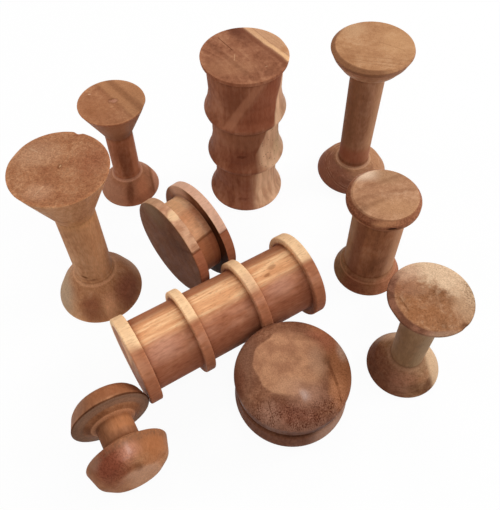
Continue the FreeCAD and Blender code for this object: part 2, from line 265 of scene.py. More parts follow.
def placed(body, node):
    """The finished body as a piece that stands for its node and moves with it."""
    bmesh.ops.transform(body, matrix=SEATS[node], verts=body.verts)
    mesh = bpy.data.meshes.new(f"{node}_turned")
    body.to_mesh(mesh)
    body.free()
    mesh.shade_smooth()
    piece = added(f"{node}_turned", mesh)
    even = piece.modifiers.new("even shading", "WEIGHTED_NORMAL")
    even.weight = 100
    even.keep_sharp = False
    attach(piece, node)
    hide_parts(node)
    return piece


PIECES = {}
for node in SEATS:
    body = marked(spun(node), node)
    if node in OFF_TRUE:
        faced_by_eye(body, node)
    PIECES[node] = placed(body, node)


# %% [markdown]
# ## Writing shader maths as sums
# A material's numbers travel between nodes. One small class wraps a socket, and arithmetic on it
# adds the Math node that does the same, so a formula reads as a formula.

# %% Shader values
class Value:
    """One socket of a material. Arithmetic on it adds Math nodes."""

    def __init__(self, finish, socket):
        self.finish = finish
        self.socket = socket

    def maths(self, operation, *inputs):
        return self.finish.node("Math", dict(enumerate(inputs)), {"operation": operation})

    def __add__(self, other):
        return self.maths("ADD", self, other)

    def __sub__(self, other):
        return self.maths("SUBTRACT", self, other)

    def __rsub__(self, other):
        return self.maths("SUBTRACT", other, self)

    def __mul__(self, other):
        return self.maths("MULTIPLY", self, other)

    def __abs__(self):
        return self.maths("ABSOLUTE", self)


def colour(red, green, blue):
    """A colour named by its screen values, 0 to 255, as the linear light that a shader takes."""
    def light(c):
        c = c / 255
        return c / 12.92 if c <= 0.04045 else ((c + 0.055) / 1.055) ** 2.4
    return (light(red), light(green), light(blue), 1.0)


class Finish:
    """A material or a world under construction. Its node method adds any node."""

    def __init__(self, owner):
        self.owner = owner
        owner.use_nodes = True
        self.tree = owner.node_tree
        self.tree.nodes.clear()

    def node(self, kind, inputs=None, settings=None, output=0):
        made = self.tree.nodes.new("ShaderNode" + kind)
        for name, value in (settings or {}).items():
            setattr(made, name, value)
        for name, value in (inputs or {}).items():
            if isinstance(value, Value):
                self.tree.links.new(value.socket, made.inputs[name])
            else:
                made.inputs[name].default_value = value
        return Value(self, made.outputs[output]) if made.outputs else None


# %% [markdown]
# ## Wood, measured on the lathe
# Every spool was cut from its own billet, so each has its own rings, knots and pale outer wood.
# A picture of wood wrapped round a spool would smear on the end grain. Here the wood is solid:
# its colour depends on the place in the billet, and the turned surface only shows where it was
# cut. The same arcs then run over the face and down the side.

# %% Places in the wood
END_GRAIN_FROM, END_GRAIN_TO = 0.35, 0.95
WANDERINGS = (13, 13, 36)
LOOSE_SWAY, GROWN_SWAY = 3.5, 1.1


class Measured(Finish):
    """The wood of one spool, measured in the lathe's millimetres."""

    def __init__(self, node):
        super().__init__(bpy.data.materials.new(f"{node}_wood"))
        self.name = node
        shift, turn, size = SEATS[node].inverted().decompose()
        where = self.node("TexCoord", output="Object")
        self.place = self.node("Mapping", {
            "Vector": where, "Location": shift, "Rotation": turn.to_euler("XYZ"), "Scale": size})
        facing = self.node("TexCoord", output="Normal")
        facing = self.node("Mapping", {"Vector": facing, "Rotation": turn.to_euler("XYZ")})
        self.end = self.between(abs(self.part(facing, 2)), END_GRAIN_FROM, END_GRAIN_TO)
        wander = self.node("TexNoise", {
            "Vector": self.stretched(WANDERINGS, 3.7), "Scale": 1, "Detail": 3}, output="Color")
        self.loose = self.swayed(wander, LOOSE_SWAY)
        self.grown = self.swayed(wander, GROWN_SWAY)
        self.radius = self.length(self.vector("MULTIPLY", self.place, (1, 1, 0)))
        self.height = self.part(self.place, 2)

    def swayed(self, wander, reach):
        """The place, moved by up to the reach, so that what is drawn there isn't ruled."""
        start = self.vector("SUBTRACT", self.place, (reach, reach, reach))
        return self.vector("MULTIPLY_ADD", wander, (2 * reach, 2 * reach, 2 * reach), start)

    def vector(self, operation, *inputs, output=0):
        return self.node("VectorMath", dict(enumerate(inputs)), {"operation": operation}, output)

    def length(self, vector):
        return self.vector("LENGTH", vector, output="Value")

    def part(self, vector, axis):
        return self.node("SeparateXYZ", {0: vector}, output=axis)

    def stretched(self, size, seed=0):
        """The place in units of size, so that clouds there are about that many millimetres."""
        scale = tuple(1 / s for s in size)
        return self.vector("MULTIPLY_ADD", self.place, scale, (seed, seed * 1.7, seed * 2.3))

    def between(self, value, low, high, start=0, end=1):
        """A smooth step of the value, from start at low to end at high."""
        return self.node("MapRange", {
            "Value": value, "From Min": low, "From Max": high, "To Min": start, "To Max": end
        }, {"interpolation_type": "SMOOTHSTEP"})

    def cloud(self, size, seed=0, detail=2, low=0.3, high=0.7):
        """Soft clouds from 0 to 1, about size in mm."""
        raw = self.node("TexNoise", {
            "Vector": self.stretched(size, seed), "Scale": 1, "Detail": detail})
        return self.between(raw, low, high)

    def bands(self, measure, detail=3):
        """Uneven bands along a measure, like the years in a trunk."""
        return self.node("TexNoise", {"W": measure, "Scale": 1, "Detail": detail},
                         {"noise_dimensions": "1D"})

    def cells(self, size, seed):
        """How far a place lies from the middle of the nearest of many small cells."""
        return self.node("TexVoronoi", {"Vector": self.stretched(size, seed), "Scale": 1})


# %% [markdown]
# ## Masks and stains
# A mask is a number from 0 to 1 that says where a stain lies: in a soft spot, beyond a plane,
# in a flat layer of growth, on a thin line, or between two heights. Masks multiply. A stain
# lays a colour over the wood where its mask is, and a darkening multiplies the wood's own colour,
# as dirt and old oil do and as painted shade does, so the grain shows through.

# %% Masks and stains
GRIME_AND_SHADE = (0.35, 0.24, 0.18, 1)
NICK_CORE = 0.3


class Wood(Measured):
    """The wood of one spool, to be stained and darkened place by place."""

    def mix(self, share, first, second, blend="MIX"):
        return self.node("Mix", {0: share, 6: first, 7: second},
                         {"data_type": "RGBA", "blend_type": blend}, 2)

    def ramp(self, value, *stops):
        """A run of colours along the value. A stop is a place and three screen values."""
        first, *others = [(place, colour(*shade)) for place, shade in stops]
        made = self.node("ValToRGB", {0: value})
        steps = made.socket.node.color_ramp.elements
        steps.remove(steps[1])
        steps[0].position, steps[0].color = first
        for place, shade in others:
            steps.new(place).color = shade
        return made

    def bend(self, name):
        return self.node("Attribute", None, {"attribute_name": name}, "Fac")

    def spot(self, middle, size, soft=0.6):
        """1 inside a soft-edged ellipsoid, 0 outside it."""
        off = self.vector("SUBTRACT", self.loose, middle)
        far = self.length(self.vector("DIVIDE", off, size))
        return self.between(far, 1 - soft, 1 + soft, 1, 0)

    def ahead(self, point, way):
        """How many millimetres a place lies beyond a plane through the point."""
        off = self.vector("SUBTRACT", self.grown, point)
        return self.vector("DOT_PRODUCT", off, tuple(Vector(way).normalized()), output="Value")

    def past(self, point, way, soft=1.5):
        """0 to 1 across a plane through the point, rising along the way."""
        return self.between(self.ahead(point, way), -soft, soft)

    def layer(self, point, way, half, soft=1):
        """1 in a flat layer through the point, half as thick to each side."""
        return self.between(abs(self.ahead(point, way)), half, half + soft, 1, 0)

    def nick(self, start, end, width):
        """1 on a thin straight line from start to end, fading over its outer part."""
        run = Vector(end) - Vector(start)
        off = self.vector("SUBTRACT", self.place, start)
        share = self.vector("DOT_PRODUCT", off, tuple(run / run.length_squared), output="Value")
        share = self.node("Clamp", {0: share})
        near = self.node("VectorMath", {0: run, "Scale": share}, {"operation": "SCALE"})
        far = self.length(self.vector("SUBTRACT", off, near))
        return self.between(far, width * NICK_CORE, width, 1, 0)

    def span(self, low, high, soft=1):
        """1 between two heights along the axis."""
        return (self.between(self.height, low - soft, low + soft)
                * self.between(self.height, high - soft, high + soft, 1, 0))

    def stain(self, mask, shade, strength=0.6):
        """Lays a colour over the wood. It is a Value, or three screen values."""
        shade = shade if isinstance(shade, Value) else colour(*shade)
        self.shade = self.mix(mask * strength, self.shade, shade)

    def darken(self, mask, strength, shade=GRIME_AND_SHADE):
        self.shade = self.mix(mask * strength, self.shade, shade, "MULTIPLY")

    def paint(self, middle, size, shade, strength=0.6, soft=0.6, on=None):
        """A stain in a soft spot, kept to where the mask on is."""
        spot = self.spot(middle, size, soft)
        self.stain(on * spot if on else spot, shade, strength)

    def dim(self, middle, size, strength, soft=0.6, on=None):
        """Grime in a soft spot, kept to where the mask on is."""
        spot = self.spot(middle, size, soft)
        self.darken(on * spot if on else spot, strength)


# %% [markdown]
# ## A billet and its closing coat
# The plain wood comes first: growth rings about a pith line that mostly lies outside the spool,
# broad blotches, streaks and fine fibres along the grain, and pores. Where the cut goes across
# the grain the colour is the face's, and elsewhere the side's. After a spool's own stains the
# closing coat adds pores, painted shade in the hollows, rims lightened as polish and as painted
# highlight, the tint of the oil, a fine relief and, on a spot rubbed with a hard tool, a burnished
# gloss.

# %% Billet and closing coat
BLOTCHES, MOTTLES, STREAKS = 0.42, 0.3, 0.18
ROUGH = 0.47
DULLER, PORES_ROUGHER = 0.16, 0.12
HOLLOW_SHADE = 0.45
SHEEN = 0.03
BURNISHED_ROUGH = 0.24
PORE_SHADE = (0.5, 0.42, 0.36, 1)
POLISH_AND_HIGHLIGHT = (1.4, 1.4, 1.36, 1)
RELIEF, RELIEF_HEIGHT = 0.35, 0.0002


def billet(node, pith, seed, face, side, ring=5, figure=0.12):
    """The plain wood of one spool. face and side are its dark, middle and light colours."""
    def graded(shades):
        return w.ramp(tone, *zip((0.1, 0.5, 0.9), shades))

    w = Wood(node)
    across = w.vector("MULTIPLY", w.grown, (1, 1, 0.05))
    from_pith = w.length(w.vector("SUBTRACT", across, (*pith, 0)))
    growth = w.between(w.bands(from_pith * (1 / ring) + seed), 0.25, 0.75)
    blotch = w.cloud((14, 14, 30), seed, 3)
    mottle = w.cloud((2.8, 2.8, 5), seed + 3, 3)
    streak = w.cloud((2.4, 2.4, 40), seed + 5, 3)
    tone = (growth * figure + blotch * BLOTCHES + mottle * MOTTLES + streak * STREAKS
            + (0.05 - figure / 2))
    w.shade = w.mix(w.end, graded(side), graded(face))
    w.fibre = w.cloud((0.75, 0.75, 3.5), seed + 9, 2, 0.25, 0.75)
    w.pores = w.between(w.cells((1.3, 1.3, 6), seed), 0.1, 0.3, 1, 0)
    return w


def coated(w, oil, pore=0.25, rim_polish_and_highlight=0.3, grain=0.16, burnish=0):
    """Closes the material and gives it to its piece."""
    fine = w.fibre * (2 * grain) + (1 - grain)
    w.shade = w.mix(w.end * 0.5 + 0.5, w.shade, fine, "MULTIPLY")
    w.darken(w.pores, pore, PORE_SHADE)
    # Painted shade: the hollows are darkened where shade falls in them.
    w.darken(w.bend("hollow"), HOLLOW_SHADE)
    # Rims are lightened, partly as polish from handling and partly as painted highlight.
    w.darken(w.bend("rim"), rim_polish_and_highlight, POLISH_AND_HIGHLIGHT)
    w.shade = w.mix(1, w.shade, (*oil, 1), "MULTIPLY")
    roughness = w.cloud((8, 8, 20), 2.2, 3) * DULLER + w.pores * PORES_ROUGHER + ROUGH
    relief = w.fibre * 0.5 - w.pores * 0.6 + w.bands(w.height * 1.7, 2) * 0.6
    bump = w.node("Bump", {"Strength": RELIEF, "Distance": RELIEF_HEIGHT, "Height": relief})
    shader = w.node("BsdfPrincipled", {
        "Base Color": w.shade, "Roughness": roughness, "Normal": bump,
        "Specular IOR Level": SHEEN, "Coat Roughness": BURNISHED_ROUGH, "Coat Weight": burnish})
    w.node("OutputMaterial", {"Surface": shader})
    PIECES[w.name].data.materials.append(w.owner)
    print(f"{w.name}: finish of {len(w.tree.nodes)} shader nodes")


# %% [markdown]
# ## Large cone spool
# Its end is an even brown, rubbed pale at the left and freckled like any end grain, with the
# pit of the lathe's centre in the middle and a few light scratches. The spindle turns from olive
# to warm brown and has a small knot low down. The foot is grey at the left, red in the middle
# and dark at the right, because its fibres run out there.

# %% Large cone spool
w = billet("large_cone_spool", pith=(-40, -55), ring=6, seed=2, figure=0.1,
           face=((140, 84, 54), (156, 100, 66), (174, 120, 84)),
           side=((160, 102, 66), (180, 122, 82), (196, 140, 100)))
w.paint((-15, 11, 127), (13, 9, 8), (182, 134, 100), 0.5, 0.7)
w.paint((20, 6, 127), (10, 13, 8), (142, 82, 54), 0.6, 0.7)
w.darken(w.end * w.cloud((0.9, 0.9, 3), 4, 2, 0.42, 0.6), 0.3, (0.62, 0.48, 0.42, 1))
w.paint((-8, -18, 127), (7, 6, 6), (190, 138, 104), 0.4)
w.stain(w.nick((-19, 15.5, 127), (-14, 12.5, 127), 0.7), (200, 156, 120), 0.3)
w.stain(w.nick((-9.5, -20.5, 127), (-6, -14, 127), 0.5), (204, 160, 124), 0.25)
w.dim((0, 1, 127), (1.7, 1.7, 2.5), 0.5, 0.4)
w.paint((0.5, 1.3, 126.6), (0.8, 0.8, 2), (196, 146, 104), 0.7, 0.3)
w.stain(w.span(30, 90, 6) * w.past((3, 0, 60), (1, 0, 0.05), 5), (196, 134, 90), 0.4)
w.darken(w.span(30, 92, 6) * w.past((10, 0, 60), (1, 0.3, 0), 4), 0.25)
w.stain(w.span(84, 96, 4), (194, 130, 80), 0.4)
w.dim((-4.5, -12.5, 33), (3, 2.5, 1.3), 0.9, 0.5)
w.dim((2, -12.5, 30.5), (2.6, 2.5, 1), 0.4, 0.5)
w.paint((-24, -8, 6), (14, 17, 15), (172, 140, 110), 0.75, 0.5)
w.paint((-1, -24, 12), (7, 7, 12), (124, 68, 44), 0.75)
w.paint((11.5, -22, 13), (3.5, 7, 14), (208, 144, 102))
w.paint((22, -8, 11), (9, 13, 13), (130, 74, 54), 0.8)
w.darken(w.spot((18, -9, 12), (13, 14, 13)) * w.cloud((1.8, 1.8, 2.2), 8, 3, 0.42, 0.62), 0.22)
w.paint((22, 17, 9), (9, 9, 12), (196, 152, 120), 0.5)
w.stain(w.span(24.2, 26.2, 0.5), (206, 146, 104), 0.5)
coated(w, oil=(1.07, 1.2, 1.32), grain=0.2, rim_polish_and_highlight=0.5)

# %% [markdown]
# ## Small cone spool
# Two soft bands of darker growth cross its face with a tan strip between them. The spindle is
# the reddest wood of the set with a dark streak down its middle, and a pale collar ring divides
# it from the pinker foot.

# %% Small cone spool
w = billet("small_cone_spool", pith=(-50, -44), seed=4.4, figure=0.15,
           face=((144, 88, 56), (160, 102, 68), (174, 117, 80)),
           side=((140, 76, 46), (160, 94, 62), (182, 116, 82)))
strip = (0.755, 0.656, 0)
w.stain(w.end * w.past((3, 0.3, 89), strip, 1.5), (174, 118, 78))
w.darken(w.layer((2.4, 0, 60), strip, 0.4, 2) * w.end, 0.22)
w.darken(w.layer((9.2, 7.2, 60), strip, 0.8, 3.6) * w.end, 0.42)
w.paint((-10, -8, 89.5), (11, 10, 6), (156, 96, 60), 0.4, 0.7, on=w.end)
w.dim((0.4, 1, 89.5), (4.2, 3, 2), 0.45, 0.25)
w.paint((0.6, 0.9, 89.3), (3, 2, 1.6), (182, 122, 92), 0.8, 0.3)
w.paint((1.3, -4.9, 89.5), (1.1, 0.8, 1.2), (190, 134, 94), 0.5, 0.5)
w.paint((-16.4, 8.9, 89.5), (1.2, 0.7, 1.2), (214, 164, 128), 0.6, 0.5)
w.stain(w.span(62, 88, 3) * (1 - w.end), (162, 106, 72), 0.7)
# Painted shade: the wood just under the head is darkened where the head shades it.
w.darken(w.span(61, 70, 4), 0.35)
w.darken(w.layer((0.5, 0, 40), (1, 0.1, 0.04), 1.2, 3.6) * w.span(20, 52, 9), 0.6)
w.darken(w.layer((5.4, 0, 36), (1, 0.1, 0), 0.6, 2.4) * w.span(26, 48, 5), 0.35)
w.stain(w.past((7.5, 0, 40), (1, 0, 0), 1.5) * w.span(22, 58, 4), (190, 114, 76), 0.5)
foot = w.span(-3, 18, 1)
w.stain(foot, (172, 110, 80), 0.4)
w.darken(foot * w.cloud((2.4, 2.4, 3), 2, 3, 0.4, 0.65), 0.2)
w.dim((3.5, -17, 11), (2.8, 9, 10), 0.65)
w.paint((13, -12, 12), (4.5, 8, 9), (196, 120, 82), 0.6, 0.5)
w.darken(w.layer((18, 0, 8), (1, 0.3, 0), 0.4, 1) * w.span(2, 16, 1), 0.4)
w.stain(w.past((19.5, -2, 8), (1, 0.2, 0), 1) * w.span(0, 15, 1), (200, 136, 104))
w.stain(w.past((-4, -8, 8), (-1, -0.2, 0), 5) * w.span(-3, 16, 2), (172, 116, 86))
w.stain(w.span(18.4, 20.6, 0.5), (214, 150, 116), 0.65)
coated(w, oil=(1, 1.11, 1.22), grain=0.12)

# %% [markdown]
# ## Three-bay spool
# This billet lay across the border between heartwood and sapwood. The border is a slanting
# plane: it leaves the face as a bright line at the right, runs down through the bays and turns
# nearly upright below. Beside it lies a dark zone of heartwood. A pale scar crosses the upper
# bay, fine freckles lie in the middle one, and two hairline cracks and a nick mark the face.

# %% Three-bay spool
w = billet("three_bay_spool", pith=(-55, -39), ring=4.5, seed=6.1, figure=0.25,
           face=((122, 72, 48), (146, 92, 64), (166, 112, 80)),
           side=((128, 72, 48), (150, 92, 64), (170, 112, 82)))
rise = (0.791, 0.612, 0)
heart = w.layer((9.4, 7.3, 128), rise, 2, 6.5)
w.stain(w.end * heart * w.past((-2, 17, 128), (-0.6, 0.8, 0), 12), (92, 46, 28), 0.85)
w.stain(w.end * w.layer((12.1, 9.4, 128), rise, 0.8, 2.2), (112, 62, 40))
w.paint((-9, -13, 128), (17, 8, 5), (162, 110, 76), 0.4, 0.7, on=w.end)
w.darken(w.end * w.layer((-9, -6, 128), rise, 0.5, 2.2), 0.25)
upper = w.past((13.4, 11, 126), (0.73, 0.594, -0.353), 1.2)
lower = w.past((-4.8, -3.8, 64), (0.772, 0.628, -0.085), 4.5)
sap = upper.maths("MINIMUM", upper, lower)
sapwood = w.ramp(w.cloud((5, 5, 30), 7.3, 3), (0.1, (208, 154, 116)), (0.8, (240, 190, 148)))
w.stain(sap, sapwood, 0.92)
outer = w.end * w.past((14, 10.8, 128), rise, 2.4)
w.stain(outer, (188, 138, 100), 0.9)
w.darken(outer * w.between(w.bands(w.ahead((0, 0, 0), rise) * 0.45), 0.5, 0.68), 0.4)
bright = w.past((10, 10, 128), (0.61, -0.79, 0), 14) * 0.7 + 0.3
w.stain(w.end * w.layer((15.3, 11.8, 128), rise, 0.5, 1.8) * bright, (228, 176, 126), 0.85)
w.paint((25.7, 4, 128), (3, 3.2, 2), (176, 120, 78), 0.6, 0.5)
tilted = (0.857, 0, -0.517)
front = w.span(86, 124, 2) * w.past((0, -14, 100), (0, -1, 0), 2)
w.paint((-8, -26, 108), (9, 10, 13), (116, 62, 40), 0.65, on=front)
w.stain(front * w.past((3, 0, 104), tilted, 3) * (1 - sap), (136, 70, 46))
w.stain(front * w.layer((-1.7, 0, 104), tilted, 1.8, 2.2), (176, 114, 82), 0.65)
w.paint((-3, -26, 54), (9, 10, 9), (122, 66, 46), on=w.span(44, 62, 3))
w.stain(w.span(64, 82, 3) * (1 - sap), (158, 104, 74), 0.4)
w.dim((-2.5, -25, 57.5), (3.5, 3, 1.2), 0.6, 0.4)
w.dim((-1.5, -25.5, 11.5), (3.5, 3, 1.2), 0.5, 0.4)
w.paint((1, -26, 14), (6, 8, 16), (134, 74, 52), 0.5, on=w.span(0, 30, 3))
w.paint((24, -9, 57), (6, 7, 8), (206, 166, 122))
w.darken(w.between(w.cells((3.4, 3.4, 3.4), 5), 0.1, 0.22, 1, 0) * sap * w.span(44, 78, 4), 0.6)
w.darken(w.nick((-17.5, 18.1, 128), (-8, 4.8, 128), 0.5), 0.8)
w.stain(w.nick((-6.3, 0.1, 128), (-6.7, -6.1, 128), 0.35), (206, 160, 120), 0.5)
w.stain(w.nick((13.4, -12.9, 128), (14.6, -12.2, 128), 0.4), (206, 160, 120), 0.5)
coated(w, oil=(0.98, 1.03, 1.1), pore=0.06, grain=0.08)

# %% [markdown]
# ## Tall dished spool
# Golden brown, and pale at the back of its face. Thin arcs of growth cross the front of the
# face, and the wide side of the bevel has stayed dark. The spindle is darker at its left and
# lighter at its right. The foot was cut across leaning fibres, so lines ring it.

# %% Tall dished spool
w = billet("tall_dished_spool", pith=(14, 62), ring=4, seed=8.2,
           face=((160, 110, 74), (177, 126, 87), (190, 142, 103)),
           side=((138, 88, 60), (158, 106, 76), (178, 126, 94)))
w.paint((-12, 20, 124), (10, 8, 6), (192, 148, 110), 0.6, 0.7, on=w.end)
w.paint((18, 4, 124), (12, 14, 6), (200, 150, 106), 0.5, 0.7, on=w.end)
w.darken(w.end * w.layer((0, -12.5, 124), (0.18, 0.98, 0), 0.2, 0.9), 0.15)
w.darken(w.end * w.layer((0, -16.5, 124), (0.20, 0.98, 0), 0.2, 0.9), 0.2)
w.darken(w.end * w.layer((2, -20, 124), (0.24, 0.97, 0), 0.2, 0.9), 0.18)
w.darken(w.nick((5, 4, 124), (20, -5, 124), 0.5), 0.25)
w.darken(w.nick((-6, 6, 124), (7, 3, 124), 0.5), 0.18)
w.paint((-19, -16, 124), (6, 8, 6), (150, 98, 62), 0.5, on=w.end)
bevel = w.between(w.radius, 24.6, 26.4) * w.past((-6, -6, 123), (-0.85, -0.5, 0), 5)
w.stain(bevel * w.span(119, 130, 0.5), (130, 84, 56), 0.85)
w.stain(w.span(24, 105, 6) * w.past((-4, 0, 60), (-1, 0.1, 0), 3), (128, 84, 56), 0.65)
w.stain(w.span(24, 108, 6) * w.past((4, 0, 60), (1, 0.1, 0), 3), (180, 130, 94), 0.65)
w.darken(w.span(24, 100, 6) * w.layer((-1, 0, 60), (1, 0, 0), 1.5, 3), 0.25)
w.stain(w.span(22, 36, 5), (146, 76, 52), 0.55)
lines = w.bands(w.ahead((0, 0, 0), (0.12, -0.2, 1)) * 1.3)
foot = w.span(-2, 17.4, 0.6)
w.stain(foot, (168, 118, 92), 0.4)
w.stain(foot * w.past((-8, -8, 8), (-1, -0.5, 0), 5), (130, 74, 58), 0.65)
w.stain(foot * w.past((12, 0, 8), (1, 0.3, 0), 5), (188, 136, 98))
broken = w.cloud((4, 4, 3), 7, 2, 0.4, 0.6)
w.darken(foot, 0.12)
w.darken(foot * w.between(lines, 0.5, 0.62) * broken, 0.3)
w.stain(foot * w.between(lines, 0.48, 0.38) * broken, (204, 156, 124), 0.32)
bead = w.between(w.radius, 14.4, 13.6)
w.stain(bead * w.span(17.2, 19, 0.3), (222, 172, 136), 0.7)
w.darken(w.span(19.6, 21.6, 0.6), 0.4)
coated(w, oil=(0.98, 1.03, 1.08), grain=0.13, rim_polish_and_highlight=0.15)

# %% [markdown]
# ## Stout spool
# A pinkish tan face with slanting, wavy grain and a cream corner at its back left. The bevel
# round it is redder and freckled, with one black resin spot under the rim. The spindle runs
# from olive at the left through a dark red band to plain brown.

# %% Stout spool
w = billet("stout_spool", pith=(18, -58), ring=4, seed=10.9, figure=0.1,
           face=((152, 102, 72), (170, 119, 86), (188, 138, 104)),
           side=((128, 76, 48), (150, 92, 60), (170, 112, 78)))
w.paint((-11, 17, 85), (9, 5.5, 6), (218, 180, 150), 0.8, 0.7, on=w.end)
w.paint((4, 15, 85), (9, 6, 6), (160, 118, 84), 0.5, 0.7, on=w.end)
w.darken(w.end * w.layer((-8, 7, 85), (-0.4, 0.92, 0), 0.4, 1.6), 0.2)
w.darken(w.end * w.layer((0, 0, 85), (-0.22, 0.97, 0), 0.4, 2.2), 0.2)
short = w.past((2, -4, 85), (-1, 0, 0), 7)
w.darken(w.end * short * w.layer((-8, -8.4, 85), (-0.45, 0.89, 0), 0.4, 2.6), 0.4)
w.dim((-17, -11.5, 85), (5, 5, 3), 0.4)
w.paint((6, -12, 85), (14, 7, 5), (184, 132, 92), 0.5, 0.7, on=w.end)
ledge = w.between(w.radius, 21, 22.2) * w.span(79, 84.4, 0.5)
w.stain(ledge, (156, 94, 66), 0.75)
w.darken(ledge * w.cloud((1.2, 1.2, 1.2), 4, 3, 0.4, 0.65), 0.5)
w.darken(ledge * w.past((-13, -6, 82), (-1, -0.3, 0), 6), 0.55)
w.paint((-3, -23, 83), (9, 3, 3), (196, 134, 92), on=ledge)
w.darken(w.spot((3.1, -24, 78.2), (3.4, 3, 0.8), 0.35), 1, (0.1, 0.07, 0.05, 1))
shaft = w.span(14, 76, 6)
w.stain(shaft * w.layer((-13, -8, 40), (1, -0.2, 0), 2, 3), (112, 64, 42))
w.stain(shaft * w.past((-16.2, 0, 40), (-1, 0, 0), 1.5), (146, 108, 72))
w.stain(shaft * w.past((4, 0, 40), (1, 0.2, 0), 5), (176, 116, 80))
w.stain(shaft * w.past((9, -11, 40), (1, -0.2, 0), 3), (196, 142, 104), 0.4)
w.dim((-5, -17, 26), (6, 5, 16), 0.35, on=w.span(14, 40, 9))
foot = w.span(-2, 13, 1)
w.stain(foot * w.past((-15, 0, 8), (-1, 0.2, 0), 4), (128, 94, 62), 0.7)
w.paint((-13, -17, 6), (9, 8, 9), (124, 66, 46), on=foot)
w.stain(foot * w.past((6, -14, 8), (1, -0.4, 0), 5), (178, 108, 76))
w.darken(foot * w.cloud((2.6, 2.6, 1), 8, 3, 0.42, 0.62), 0.25)
w.stain(w.span(10.2, 11.4, 0.5), (204, 138, 100), 0.35)
coated(w, oil=(1.03, 1.13, 1.2), grain=0.14, rim_polish_and_highlight=0.2)

# %% [markdown]
# ## Short dished spool
# Half of its face is cream sapwood and half is mottled heartwood, more orange to the front, with
# dark mildew freckles at the right edge. The left of the rim is rubbed dark. An olive spindle
# leads to a foot that is dark at the left and pale sapwood at the right.

# %% Short dished spool
w = billet("short_dished_spool", pith=(-60, -40), ring=3.4, seed=13.5, figure=0.15,
           face=((132, 86, 56), (154, 104, 70), (176, 128, 94)),
           side=((116, 74, 48), (138, 94, 64), (160, 116, 84)))
speck = w.cloud((1, 1, 5), 6, 3, 0.45, 0.62)
w.paint((-8, -10, 86.5), (12, 9, 6), (158, 100, 62), 0.55, 0.7, on=w.end)
w.paint((-13, 7, 86.5), (8, 6, 6), (150, 94, 68), 0.5, 0.7, on=w.end)
w.darken(w.end * speck, 0.24)
w.dim((-3, 3, 86.5), (14, 9, 6), 0.12, on=w.end * speck)
w.darken(w.end * w.cloud((2.2, 2.2, 6), 9, 3, 0.4, 0.62), 0.16, (0.55, 0.38, 0.3, 1))
cream = w.past((3.5, 8, 86), (0.53, 0.85, 0), 7) + (w.cloud((4, 4, 6), 2.4, 3) - 0.5) * 0.5
w.stain(w.end * w.between(cream, 0.05, 0.95), (220, 182, 146), 0.9)
w.paint((-11, 17, 86), (9, 6, 4), (190, 146, 116), 0.75, on=w.end)
w.dim((3, 1, 86), (8, 6, 4), 0.22)
w.paint((-8, 5, 86), (6, 5, 4), (164, 118, 88), 0.4)
w.paint((23, 4, 86), (3, 9, 5), (184, 150, 118), 0.7)
w.paint((19, -4, 86), (7, 11, 5), (186, 146, 112), 0.7, 0.7, on=w.end)
w.dim((22, 1, 86), (4, 12, 5), 0.5, on=speck * w.end)
w.darken(speck * w.end * w.past((4.5, 10.5, 86), (0.53, 0.85, 0), 3), 0.2)
w.darken(w.nick((-17.5, 0, 86.4), (-14, -8, 86.4), 0.8), 0.5)
off = w.vector("SUBTRACT", w.grown, (1.8, 0.4, 0))
off = w.length(w.vector("MULTIPLY", off, (1, 1, 0)))
edge = w.between(off, 21, 22.6) * w.span(79, 92, 1)
worn = w.ramp(w.cloud((5, 5, 5), 4, 3), (0.2, (96, 56, 40)), (0.9, (124, 78, 58)))
w.stain(edge * w.past((-4, -4, 85), (-0.85, -0.5, 0), 6), worn, 0.9)
w.paint((2, -24, 85), (9, 4, 4), (170, 130, 102), on=edge)
w.dim((15, -18, 85.5), (3, 3, 2), 0.7, 0.4)
shaft = w.span(16, 74, 5)
w.stain(shaft, (134, 104, 72), 0.4)
w.stain(shaft * w.past((0, -9, 48), (1, -0.1, 0), 3), (166, 132, 98), 0.5)
foot = w.span(-2, 18, 1)
w.stain(foot * w.past((-10, -4, 8), (-1, -0.4, 0), 5), (110, 60, 42), 0.7)
w.paint((-3, -15, 11), (9, 8, 9), (150, 98, 74), on=foot)
w.darken(foot * w.cloud((3, 3, 1.2), 5, 3, 0.45, 0.65), 0.3)
w.darken(w.spot((4, -19.5, 9), (4, 4, 4)), 0.5, (0.45, 0.42, 0.36, 1))
w.stain(foot * w.past((13, -5, 8), (1, 0.25, 0.1), 2.4), (210, 170, 132), 0.85)
w.dim((14, -17, 5), (5, 5, 6), 0.5, on=foot)
w.stain(w.span(16.2, 18.2, 0.6), (176, 128, 96), 0.4)
w.paint((-7, 17, 10), (8, 7, 8), (204, 160, 128), 0.7, on=foot)
coated(w, oil=(1.02, 1.09, 1.15), pore=0.3, rim_polish_and_highlight=0.1)

# %% [markdown]
# ## Double dome spool
# The crown of the dome is rubbed back to pale wood, crisp at the left and fading to the right.
# Round it the old finish is dark: grey brown at the left, an orange band and a dark line at the
# right, and at the front open end grain in short dark dashes, with two fine cracks. A pale patch
# at the back right is a painted reflection. The groove is painted darker as shade, and the lower
# disc is dark brown. One small spot in front of the crown is burnished, with a warm painted
# highlight round it.

# %% Double dome spool
w = billet("double_dome_spool", pith=(52, -30), seed=15.7, figure=0.1,
           face=((104, 60, 40), (122, 76, 53), (142, 94, 68)),
           side=((92, 52, 36), (114, 70, 50), (138, 92, 68)))
crown = w.past((0, 0, 38), (0, 0, 1), 2)
w.stain(w.past((20, 0, 40), (1, 0.25, 0), 5), (156, 94, 58), 0.75)
w.paint((10, -16, 48), (8, 7, 8), (138, 92, 70), 0.6, 0.7)
w.paint((25, -14, 45), (4, 9, 8), (190, 124, 84), 0.6, 0.7)
w.paint((18, 18, 46), (10, 8, 9), (150, 86, 62))
